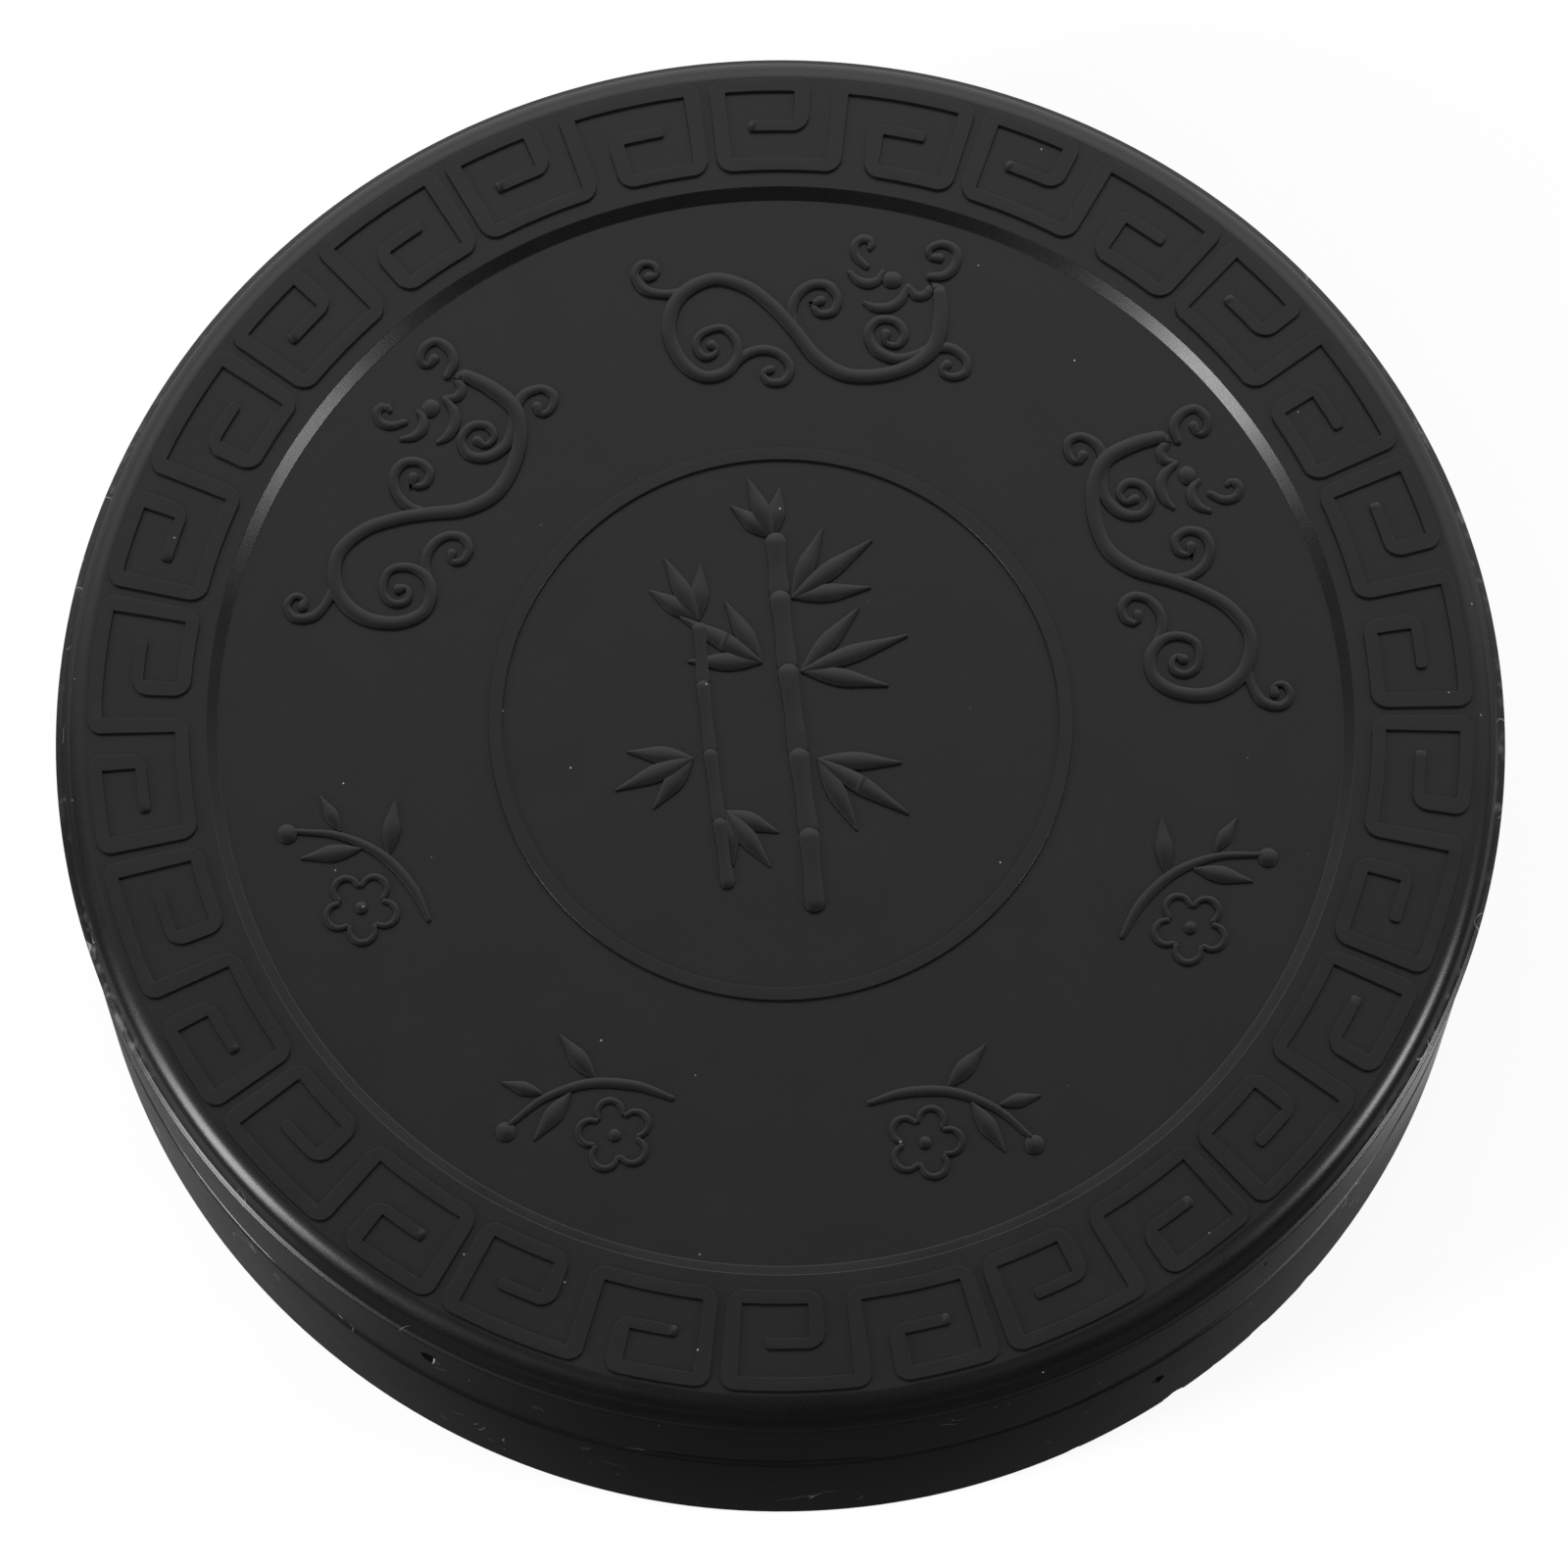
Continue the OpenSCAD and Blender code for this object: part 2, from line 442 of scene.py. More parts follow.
def add_object(name: str, data: bpy.types.ID) -> Object:
    """Puts a new object in the scene.

    Args:
        name: its name.
        data: its mesh, lamp or camera.

    Returns:
        The object.
    """
    added = bpy.data.objects.new(name, data)
    bpy.context.scene.collection.objects.link(added)
    return added


def add_shape(name: str, bm: BMesh) -> Object:
    """Puts a modelled shape in the scene.

    Args:
        name: its name.
        bm: the shape. It is freed.

    Returns:
        Its object.
    """
    mesh = bpy.data.meshes.new(name)
    bm.to_mesh(mesh)
    bm.free()
    return add_object(name, mesh)


def finish_piece(bm: BMesh, name: str, body: Body, finish: StoneFinish) -> Object:
    """Turns a finished shape in millimetres into a dressed piece.

    Args:
        bm: the shape. It is freed.
        name: the piece's name.
        body: the body that it rides on.
        finish: its finish.

    Returns:
        The piece's object, at the origin and with its place in its mesh.
    """
    bmesh.ops.scale(bm, vec=(MM, MM, MM), verts=bm.verts)
    piece = add_shape(name, bm)
    mesh = piece.data
    mesh.shade_smooth()
    mesh.set_sharp_from_angle(angle=SHARP_ANGLE)
    mesh.materials.append(finish.material())
    even = piece.modifiers.new("even_shading", "WEIGHTED_NORMAL")
    even.keep_sharp = True
    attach(piece, body.value)
    log.info("%s: %d faces, rides on %s", name, len(mesh.polygons), body.value)
    return piece


# Wear


@dataclass(frozen=True)
class SeamMark:
    """How far the lid's lower edge is worn inwards and upwards at an azimuth, in degrees and millimetres."""

    azimuth: float
    inset: float
    lift: float = 0.0


SEAM_MARKS = tuple(SeamMark(*mark) for mark in (
    (0, 0.06), (90, 0.03), (180, 0.06), (212, 0.12), (218, 0.2, 0.05), (225, 0.16), (228, -0.15),
    (238, -0.25), (250, -0.22), (256, -0.1), (260, 0.15, 0.6), (263, 0.35, 1.7), (266, 0.35, 1.4),
    (270, 0.4, 1.8), (275, 0.3, 0.7), (279, 0.05), (292, 0.05), (302, 0.25, 0.1), (310, 0.36, 0.2),
    (318, 0.28, 0.05), (325, 0.2), (336, 0.1), (360, 0.06)))


def seam_wear(azimuth: float) -> tuple[float, float]:
    """Gives the inset and the lift between the nearest marks.

    Args:
        azimuth: where on the edge, from 0 to 360 degrees.

    Returns:
        The inset and the lift.
    """
    for before, after in zip(SEAM_MARKS, SEAM_MARKS[1:]):
        if azimuth <= after.azimuth:
            share = (azimuth - before.azimuth) / (after.azimuth - before.azimuth)
            share = share * share * (3 - 2 * share)
            return (before.inset + (after.inset - before.inset) * share,
                    before.lift + (after.lift - before.lift) * share)
    return SEAM_MARKS[-1].inset, SEAM_MARKS[-1].lift


@dataclass(frozen=True)
class Chip:
    """A rough dent in an upright side: its azimuth in degrees, its place and its half sizes."""

    azimuth: float
    radius: float
    height: float
    along: float
    up: float
    deep: float

    def add_to(self, bm: BMesh) -> None:
        """Adds the lump that cuts the dent.

        Args:
            bm: the mesh to add it to.
        """
        lump = bmesh.ops.create_icosphere(bm, subdivisions=3, radius=1.0)["verts"]
        for vert in lump:
            vert.co *= 1 + 0.3 * noise(vert.co * 1.6 + Vector((self.azimuth, 0, 0)))
        size = Matrix.Diagonal((self.deep, self.along, self.up, 1))
        turn = Matrix.Rotation(math.radians(self.azimuth), 4, "Z")
        place = turn @ Matrix.Translation((self.radius, 0, self.height))
        bmesh.ops.transform(bm, matrix=place @ size, verts=lump)


LID_CHIPS = (
    Chip(242, 64.95, 28.6, 1.0, 1.6, 0.7),
    Chip(311.5, 65.0, 30.2, 0.4, 0.5, 0.2),
)

BASE_CHIPS = (
    Chip(302.2, 64.85, 12.6, 0.7, 1.3, 0.6),
    Chip(299.3, 64.95, 5.0, 2.6, 4.2, 0.4),
    Chip(295.0, 64.8, 0.9, 0.9, 0.9, 0.6),
    Chip(304.4, 64.8, 1.1, 1.3, 1.1, 0.6),
    Chip(308.6, 64.8, 0.8, 0.8, 0.8, 0.6),
    Chip(313.2, 64.8, 0.9, 1.5, 0.9, 0.6),
    Chip(319.0, 64.8, 0.9, 0.9, 1.0, 0.7),
    Chip(324.5, 64.8, 0.8, 1.1, 0.8, 0.6),
)


def joined(first: BMesh, second: BMesh, way: Join) -> BMesh:
    """Joins two closed shapes, or cuts the second out of the first.

    Args:
        first: a closed shape. It is freed.
        second: another, which meets it. It is freed.
        way: what becomes of the two.

    Returns:
        The new shape.
    """
    pair = [add_shape("joining", bm) for bm in (first, second)]
    join = pair[0].modifiers.new("join", "BOOLEAN")
    join.operation = way.value
    join.solver = "EXACT"
    join.object = pair[1]
    evaluated = pair[0].evaluated_get(bpy.context.evaluated_depsgraph_get())
    bm = bmesh.new()
    bm.from_mesh(evaluated.to_mesh())
    evaluated.to_mesh_clear()
    for obj in pair:
        bpy.data.objects.remove(obj)
    bmesh.ops.remove_doubles(bm, verts=bm.verts, dist=WELD)
    return bm


def chipped(bm: BMesh, chips: Iterable[Chip]) -> BMesh:
    """Cuts dents into a shape.

    Args:
        bm: the closed shape. It is freed.
        chips: the dents.

    Returns:
        The new shape.
    """
    lumps = bmesh.new()
    for chip in chips:
        chip.add_to(lumps)
    return joined(bm, lumps, Join.DIFFERENCE)


# The lid


@dataclass
class Lid:
    """The turned cover: a heavy plate with a moulded edge, a sunk round field and a hollow underneath."""

    finish: StoneFinish
    seat: float
    top: float
    radius: float
    side_lean: float = 0.4
    shoulder_width: float = 1.42
    shoulder_rounding: float = 2.1
    cove_width: float = 0.48
    cove_rounding: float = 0.6
    cove_end_slope: float = 22.0
    edge_height: float = 2.4
    arris_rounding: float = 0.15
    seam_rounding: float = 0.35
    worn_height: float = 2.2
    flared_height: float = 0.8
    field_radius: float = 51.5
    field_slope: float = 1.0
    field_depth: float = 0.9
    rim_rounding: float = 0.15
    foot_rounding: float = 0.15
    hollow_radius: float = 59.9
    plate: float = 5.0
    hollow_rounding: float = 3.0
    mouth_rounding: float = 0.4

    @property
    def field_level(self) -> float:
        """Height of the sunk field."""
        return self.top - self.field_depth

    def side_at(self, height: float) -> float:
        """Radius of the leaning side at a height above its lower edge."""
        return self.radius - self.side_lean * (1 - height / (self.top - self.edge_height - self.seat))

    def corners(self) -> list[Corner]:
        """The cross-section from the axis under the plate, round the side, to the axis on the field.

        Returns:
            The corners, in order.
        """
        arris = self.top - self.edge_height
        cove_foot = arris + self.cove_width * math.tan(math.radians(self.cove_end_slope))
        ceiling = self.field_level - self.plate
        return [
            Corner(0, ceiling),
            Corner(self.hollow_radius, ceiling, self.hollow_rounding),
            Corner(self.hollow_radius, self.seat, self.mouth_rounding),
            Corner(self.side_at(0), self.seat, self.seam_rounding),
            Corner(self.side_at(self.flared_height), self.seat + self.flared_height),
            Corner(self.side_at(self.worn_height), self.seat + self.worn_height),
            Corner(self.radius, arris, self.arris_rounding),
            Corner(self.radius - self.cove_width, cove_foot, self.cove_rounding),
            Corner(self.radius - self.shoulder_width, self.top, self.shoulder_rounding),
            Corner(self.field_radius, self.top, self.rim_rounding),
            Corner(self.field_radius - self.field_slope, self.field_level, self.foot_rounding),
            Corner(0, self.field_level),
        ]

    def wear_seam(self, bm: BMesh) -> None:
        """Presses the lower edge in and out as the marks say, with a little unevenness.

        Args:
            bm: the turned lid.
        """
        for vert in bm.verts:
            height = vert.co.z - self.seat
            if height > self.worn_height - WELD or vert.co.xy.length < self.side_at(0) - 1:
                continue
            inset, lift = seam_wear(math.degrees(math.atan2(vert.co.y, vert.co.x)) % 360)
            inset += 0.04 * noise(vert.co * 0.8)
            share = 1 - height / self.worn_height if inset > 0 else float(height < self.flared_height - WELD)
            vert.co.xy *= 1 - inset * share / vert.co.xy.length
            if height < self.flared_height + WELD:
                vert.co.z += lift * (1 + 0.5 * noise(vert.co * 1.7))

    def build(self) -> Object:
        """Turns the lid, wears it and has it stand for the lid's solid.

        Returns:
            The piece.
        """
        bm = turned(self.corners())
        self.wear_seam(bm)
        piece = finish_piece(chipped(bm, LID_CHIPS), "lid_body", Body.LID, self.finish)
        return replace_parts(piece, "lid")


@dataclass
class MeanderBorder:
    """The raised key border between the lid's shoulder and its sunk field."""

    finish: StoneFinish
    level: float
    inner_radius: float = 53.0
    width: float = 9.1
    pairs: int = 15
    start_angle: float = 96.6
    bar: float = 1.4
    band: float = 1.25
    hook: float = 1.0
    height: float = 0.4
    root: float = 0.2
    rim_softness: float = 0.05
    bend_step: float = 2.0

    @property
    def middle_radius(self) -> float:
        """Radius of the border's middle line."""
        return self.inner_radius + self.width / 2

    @property
    def pitch(self) -> float:
        """Length of one pair of spirals on the middle line."""
        return math.tau * self.middle_radius / self.pairs

    def corners(self) -> list[Corner]:
        """One pair of spirals, straightened out: across runs clockwise along the rim, up runs outwards.

        Returns:
            The corners, in order.
        """
        pitch, top, bar, band = self.pitch, self.width, self.bar, self.band
        narrow_end, narrow_hook, narrow_up = 0.365 * pitch, 0.136 * pitch, 3.9
        wide_start, wide_core, wide_hook, wide_end, wide_up = (
            0.446 * pitch, 0.595 * pitch, 0.812 * pitch, 0.965 * pitch, 4.3)
        tip, soft, softer = 0.3, 1.3, 1.6
        return [
            Corner(narrow_hook, narrow_up, tip),
            Corner(narrow_end, narrow_up, softer),
            Corner(narrow_end, top, soft),
            Corner(0, top, soft),
            Corner(0, 0, softer),
            Corner(wide_start + bar, 0, softer),
            Corner(wide_start + bar, top - band),
            Corner(wide_end - bar, top - band),
            Corner(wide_end - bar, band),
            Corner(wide_core + bar, band),
            Corner(wide_core + bar, wide_up),
            Corner(wide_hook, wide_up, tip),
            Corner(wide_hook, wide_up + self.hook, tip),
            Corner(wide_core, wide_up + self.hook, softer),
            Corner(wide_core, 0, softer),
            Corner(wide_end, 0, softer),
            Corner(wide_end, top, soft),
            Corner(wide_start, top, soft),
            Corner(wide_start, band),
            Corner(bar, band),
            Corner(bar, top - band),
            Corner(narrow_end - bar, top - band),
            Corner(narrow_end - bar, narrow_up + self.hook),
            Corner(narrow_hook, narrow_up + self.hook, tip),
        ]

    def bend(self, bm: BMesh) -> None:
        """Cuts the straight pair across at even steps and bends it round the lid.

        Args:
            bm: the raised pair.
        """
        cuts = round(360 / self.pairs / self.bend_step)
        for i in range(1, cuts):
            bmesh.ops.bisect_plane(bm, geom=bm.verts[:] + bm.edges[:] + bm.faces[:], dist=WELD,
                                   plane_co=(self.pitch * i / cuts, 0, 0), plane_no=(1, 0, 0))
        for vert in bm.verts:
            angle = math.radians(self.start_angle) - vert.co.x / self.middle_radius
            radius = self.inner_radius + vert.co.y
            level = vert.co.z + self.level - self.root
            vert.co = (radius * math.cos(angle), radius * math.sin(angle), level)

    def build(self) -> Object:
        """Raises one pair of spirals, bends it and repeats it round the lid.

        Returns:
            The piece.
        """
        bm = bmesh.new()
        outline = draw_outline(bm, self.corners(), Matrix.Identity(4), True)
        bmesh.ops.contextual_create(bm, geom=outline)
        soften_rim(bm, raise_faces(bm, bm.faces[:], self.height + self.root), self.rim_softness)
        self.bend(bm)
        others = self.pairs - 1
        bmesh.ops.spin(bm, geom=bm.verts[:] + bm.edges[:] + bm.faces[:], cent=(0, 0, 0), axis=(0, 0, 1),
                       angle=-math.tau * others / self.pairs, steps=others, use_duplicate=True)
        bmesh.ops.recalc_face_normals(bm, faces=bm.faces)
        return finish_piece(bm, "meander_border", Body.LID, self.finish)


@dataclass
class FieldRing:
    """The thin raised ring round the middle of the sunk field."""

    finish: StoneFinish
    level: float
    radius: float = 25.6
    width: float = 1.2
    height: float = 0.4
    root: float = 0.2
    rim_softness: float = 0.05

    def build(self) -> Object:
        """Turns the ring's closed cross-section.

        Returns:
            The piece.
        """
        inner, outer = self.radius - self.width / 2, self.radius + self.width / 2
        foot, top = self.level - self.root, self.level + self.height
        bm = turned([
            Corner(inner, foot),
            Corner(outer, foot),
            Corner(outer, top, self.rim_softness),
            Corner(inner, top, self.rim_softness),
        ], closed=True)
        return finish_piece(bm, "field_ring", Body.LID, self.finish)


# Ornaments


@dataclass(frozen=True)
class Stroke:
    """A raised brush stroke: its middle line as (x, y, width) points, in millimetres."""

    points: tuple[tuple[float, float, float], ...]
    step: float = 0.3
    widest_share: float = 0.8
    cap_angles: tuple[float, ...] = (78.0, 56.0, 36.0, 17.0)

    def smooth_line(self) -> list[Vector]:
        """Draws the smooth line through the points, no wider than its bends allow.

        Returns:
            Its (x, y, width) samples, about one step apart.
        """
        points = [Vector(p) for p in self.points]
        points = [2 * points[0] - points[1], *points, 2 * points[-1] - points[-2]]
        line = []
        for a, b, c, d in zip(points, points[1:], points[2:], points[3:]):
            count = max(1, math.ceil((c.xy - b.xy).length / self.step))
            for i in range(count):
                t = i / count
                line.append(0.5 * (2 * b + (c - a) * t + (2 * a - 5 * b + 4 * c - d) * t ** 2
                                   + (3 * b - a - 3 * c + d) * t ** 3))
        line.append(points[-2])
        for a, b, c in zip(line, line[1:], line[2:]):
            turn = (b.xy - a.xy).angle(c.xy - b.xy, 0.0)
            if turn:
                b.z = min(b.z, self.widest_share * (c.xy - a.xy).length / turn)
        return line

    def stations(self) -> list[Matrix]:
        """Stands the edge across the stroke at each sample and round both ends.

        Returns:
            Where it stands, in order.
        """
        line = self.smooth_line()
        ways = [line[min(i + 1, len(line) - 1)].xy - line[max(i - 1, 0)].xy for i in range(len(line))]

        def station(place: Vector, way: Vector, along: float, width: float) -> Matrix:
            """Stands an edge of a width at a place, moved along the way."""
            spot = place.xy + way.normalized() * along
            return (Matrix.Translation((spot.x, spot.y, 0))
                    @ Matrix.Rotation(math.atan2(way.y, way.x), 4, "Z")
                    @ Matrix.Scale(width, 4))

        def cap(place: Vector, way: Vector, sign: int) -> list[Matrix]:
            """Closes the stroke's width in a half circle beyond an end."""
            reach, turns = sign * place.z / 2, map(math.radians, self.cap_angles)
            return [station(place, way, reach * math.sin(t), place.z * math.cos(t)) for t in turns]

        middle = [station(place, way, 0.0, place.z) for place, way in zip(line, ways)]
        return [*cap(line[0], ways[0], -1), *middle, *reversed(cap(line[-1], ways[-1], 1))]

    def build(self, bm: BMesh, height: float, softness: float) -> None:
        """Draws the stroke's edge along its way and raises the strip.

        Args:
            bm: the mesh to draw in.
            height: the stroke's whole height, its root included.
            softness: the rounding of its rim.
        """
        stations = self.stations()
        ends = [bm.verts.new(stations[0] @ Vector((0, side, 0))) for side in (-0.5, 0.5)]
        edge = bm.edges.new(ends)
        strip = []
        for before, after in zip(stations, stations[1:]):
            drawn = bmesh.ops.extrude_edge_only(bm, edges=[edge])["geom"]
            moved = [g for g in drawn if isinstance(g, BMVert)]
            bmesh.ops.transform(bm, matrix=after @ before.inverted(), verts=moved)
            strip += [g for g in drawn if isinstance(g, BMFace)]
            edge = next(g for g in drawn if isinstance(g, BMEdge) and all(v in moved for v in g.verts))
        soften_rim(bm, raise_faces(bm, strip, height), softness)


@dataclass
class Ornament:
    """A raised ornament on the sunk field, drawn with +Y pointing out from the lid's middle."""

    finish: StoneFinish
    name: str
    level: float
    radius: float = 0.0
    angle: float = 90.0
    hand: Hand = Hand.DRAWN
    height: float = 0.4
    step_down: float = 0.012
    root: float = 0.2
    rim_softness: float = 0.07

    def strokes(self) -> list[Stroke]:
        """The ornament's strokes, the highest first."""
        raise NotImplementedError

    def place(self) -> Matrix:
        """Takes the drawing to its place on the field.

        Returns:
            The move, turn and mirroring.
        """
        turn = Matrix.Rotation(math.radians(self.angle - 90), 4, "Z")
        mirror = Matrix.Scale(self.hand.value, 4, (1, 0, 0))
        return turn @ Matrix.Translation((0, self.radius, self.level - self.root)) @ mirror

    def build(self) -> Object:
        """Raises each stroke a little less than the one before, so that no two tops lie in one plane.

        Returns:
            The piece.
        """
        bm = bmesh.new()
        for i, stroke in enumerate(self.strokes()):
            stroke.build(bm, self.height + self.root - i * self.step_down, self.rim_softness)
        bmesh.ops.transform(bm, matrix=self.place(), verts=bm.verts)
        bmesh.ops.recalc_face_normals(bm, faces=bm.faces)
        return finish_piece(bm, self.name, Body.LID, self.finish)


def heading(angle: float) -> Vector:
    """Gives the way that lies at an angle in degrees from +X."""
    return Vector((math.cos(math.radians(angle)), math.sin(math.radians(angle))))


def leaf(x: float, y: float, angle: float, length: float, width: float) -> Stroke:
    """Draws a pointed leaf.

    Args:
        x: where its stalk end lies.
        y: where its stalk end lies.
        angle: the way it points, in degrees.
        length: its length.
        width: its greatest width.

    Returns:
        The leaf's stroke.
    """
    way = heading(angle)
    swelling = ((0.0, 0.3), (0.25, width * 0.8), (0.5, width), (0.8, width * 0.5), (1.0, 0.2))
    return Stroke(tuple(
        (x + way.x * length * share, y + way.y * length * share, wide) for share, wide in swelling))


@dataclass
class CloudScroll(Ornament):
    """A cloud scroll: an S-shaped sweep with spirals at both ends and small curls around it."""

    def strokes(self) -> list[Stroke]:
        """The great sweep, its side curls, and the small lobes over its right-hand end.

        Returns:
            The strokes, the highest first.
        """
        return [
            Stroke((
                (-8.3, -2.9, 0.9), (-7.8, -3.4, 0.5), (-8.2, -4.0, 0.6), (-9.0, -4.1, 0.7), (-9.7, -3.2, 0.7),
                (-9.3, -1.9, 0.7), (-7.4, -1.2, 0.7), (-6.1, -2.4, 0.8), (-5.9, -4.1, 0.9), (-7.0, -5.6, 1.1),
                (-9, -6, 1.1), (-11.1, -4.5, 1.2), (-12.3, -1.6, 1.3), (-11.5, 1.6, 1.3), (-8.6, 3.5, 1.2),
                (-5.4, 2.9, 1.2), (-2.9, 1.1, 1.2), (-0.9, -1.0, 1.2), (1.3, -3.6, 1.3), (4.0, -5.1, 1.3),
                (7.2, -5.0, 1.3), (10.2, -3.8, 1.3), (12.0, -1.8, 1.4), (12.4, 0.9, 1.4), (12.2, 3.3, 1.2))),
            Stroke((
                (-11.4, 2.0, 0.9), (-13.0, 1.8, 0.8), (-14.7, 2.1, 0.9), (-15.7, 3.4, 0.8), (-15.2, 4.6, 0.7),
                (-14.0, 4.6, 0.6), (-13.7, 3.7, 0.55), (-14.4, 3.4, 0.9))),
            Stroke((
                (-6.2, -4.8, 0.8), (-5.0, -3.6, 0.9), (-3.4, -3.1, 0.9), (-1.8, -3.6, 0.8), (-1.0, -4.9, 0.8),
                (-1.6, -6.1, 0.8), (-2.9, -6.2, 0.7), (-3.5, -5.4, 0.55), (-2.8, -5.0, 0.8))),
            Stroke((
                (-0.9, -0.5, 0.7), (-1.2, 0.9, 0.9), (-0.7, 2.5, 0.9), (0.5, 3.5, 0.9), (2.0, 3.5, 0.9),
                (2.9, 2.3, 0.8), (2.6, 1.0, 0.8), (1.4, 0.7, 0.7), (0.7, 1.5, 0.55), (1.4, 2.0, 0.9))),
            Stroke((
                (11.9, -1.9, 0.9), (10.2, -2.9, 0.9), (8.4, -3.3, 1.0), (6.6, -2.5, 1.0), (5.9, -0.9, 0.9),
                (6.8, 0.4, 0.8), (8.4, 0.3, 0.8), (9.2, -0.9, 0.8), (8.6, -2.0, 0.65), (7.5, -1.8, 0.55),
                (7.5, -0.9, 0.9))),
            Stroke((
                (12.2, -2.0, 1.0), (13.6, -2.0, 0.9), (14.9, -3.0, 0.8), (14.9, -4.3, 0.8), (13.7, -4.8, 0.7),
                (12.7, -4.3, 0.6), (13.2, -3.6, 0.9))),
            Stroke((
                (11.2, 4.9, 0.7), (12.6, 5.1, 0.9), (13.5, 6.2, 0.9), (13.5, 7.6, 0.8), (12.3, 8.2, 0.8),
                (11.1, 7.7, 0.65), (11.1, 6.9, 0.6), (12.0, 6.8, 0.9))),
            Stroke((
                (5.4, 5.6, 0.6), (4.4, 6.5, 0.8), (4.2, 7.6, 0.8), (4.9, 8.3, 0.8), (5.8, 8.0, 0.7),
                (5.6, 7.4, 0.5))),
            Stroke(((3.9, 4.9, 0.5), (4.6, 4.2, 0.8), (5.6, 3.9, 1.0), (6.5, 4.3, 0.8), (6.9, 5.1, 0.5))),
            Stroke(((5.4, 2.0, 0.4), (6.4, 1.6, 0.9), (7.7, 1.7, 1.0), (8.7, 2.5, 0.9), (9.2, 3.7, 0.6))),
            Stroke(((9.3, 3.9, 0.5), (10.0, 3.0, 0.9), (10.9, 3.1, 0.9), (11.5, 3.9, 0.8), (12.3, 3.7, 0.8))),
            Stroke(((7.7, 4.4, 1.6), (7.9, 4.4, 1.6))),
        ]


@dataclass
class BambooSpray(Ornament):
    """Two bamboo canes with leaves in threes, in the middle of the field."""

    leaf_width: float = 1.7
    leaf_spread: float = 30.0
    side_leaf_share: float = 0.78

    def cane(self, joints: Sequence[tuple[float, float]], width: float) -> list[Stroke]:
        """Draws a cane between its joints, with a small gap at each.

        Args:
            joints: the joints' places.
            width: the cane's width at a joint.

        Returns:
            A stroke for each length of the cane.
        """
        lengths = []
        for low, high in zip(map(Vector, joints), map(Vector, joints[1:])):
            gap = (high - low).normalized() * width / 4
            lengths.append(Stroke((
                (*(low + gap), width), (*((low + high) / 2), width * 0.85), (*(high - gap), width))))
        return lengths

    def leaves(self, x: float, y: float, angle: float, length: float) -> list[Stroke]:
        """Draws three leaves from a joint.

        Args:
            x: the joint's place.
            y: the joint's place.
            angle: the way the middle leaf points, in degrees.
            length: the middle leaf's length.

        Returns:
            The three leaves.
        """
        side = length * self.side_leaf_share
        return [
            leaf(x, y, angle, length, self.leaf_width),
            leaf(x, y, angle - self.leaf_spread, side, self.leaf_width),
            leaf(x, y, angle + self.leaf_spread, side, self.leaf_width),
        ]

    def strokes(self) -> list[Stroke]:
        """Both canes and their leaves.

        Returns:
            The strokes, the highest first.
        """
        drawn = self.cane([(3.2, -17.5), (2.6, -10.5), (1.6, -3), (0.6, 5), (-0.2, 12), (-0.6, 17.5)], 1.9)
        drawn += self.cane([(-4.6, -15.5), (-5.4, -9.5), (-6.3, -3), (-7, 3.5), (-7.4, 9)], 1.3)
        for x, y, angle, length in (
                (3.4, -3.6, -32, 9.5), (1.9, 4.8, 20, 10), (1, 11.8, 38, 9), (-1.8, 5.6, 150, 8.4),
                (-0.9, 17.6, 112, 6), (-7.9, -3.6, 204, 7.4), (-7.5, 9.6, 118, 6.6), (-4.8, -8.6, -52, 6.4)):
            drawn += self.leaves(x, y, angle, length)
        return drawn


@dataclass
class BlossomSprig(Ornament):
    """A small twig with a five-petalled blossom, a bud and three leaves."""

    blossom: tuple[float, float] = (-2.6, 0.8)
    petals: int = 5
    petal_reach: float = 2.1
    petal_radius: float = 1.15
    petal_line: float = 0.6
    petal_opening: float = 75.0
    heart_size: float = 1.1
    bud: tuple[float, float] = (6.3, 4.5)
    bud_size: float = 1.8

    def dot(self, x: float, y: float, size: float) -> Stroke:
        """Draws a round dot."""
        return Stroke(((x - 0.01, y, size), (x + 0.01, y, size)))

    def petal(self, turn: float) -> Stroke:
        """Draws a petal as a curved line that opens towards the heart.

        Args:
            turn: the way it points from the heart, in degrees.

        Returns:
            The petal's stroke.
        """
        middle = Vector(self.blossom) + heading(turn) * self.petal_reach
        bow = 180 - self.petal_opening
        points = []
        for share in (-1, -0.67, -0.33, 0, 0.33, 0.67, 1):
            angle = math.radians(turn + bow * share)
            points.append((middle.x + self.petal_radius * math.cos(angle),
                           middle.y + self.petal_radius * math.sin(angle),
                           self.petal_line * (1.0 - 0.25 * abs(share))))
        return Stroke(tuple(points))

    def strokes(self) -> list[Stroke]:
        """The blossom, the twig, its leaves and its bud.

        Returns:
            The strokes, the highest first.
        """
        drawn = [self.dot(*self.blossom, self.heart_size)]
        drawn += [self.petal(18 + 360 * i / self.petals) for i in range(self.petals)]
        drawn.append(Stroke((
            (-5.8, -4.4, 0.5), (-2.4, -4.1, 0.9), (1.4, -2.6, 0.9), (4.4, 0.2, 0.7), (6.2, 3.6, 0.5))))
        drawn += [leaf(1.2, -3.2, -28, 5, 1.6), leaf(2.6, -1, 78, 5.2, 1.6), leaf(4.9, 0, 8, 3.6, 1.3)]
        return [*drawn, self.dot(*self.bud, self.bud_size)]


# The base


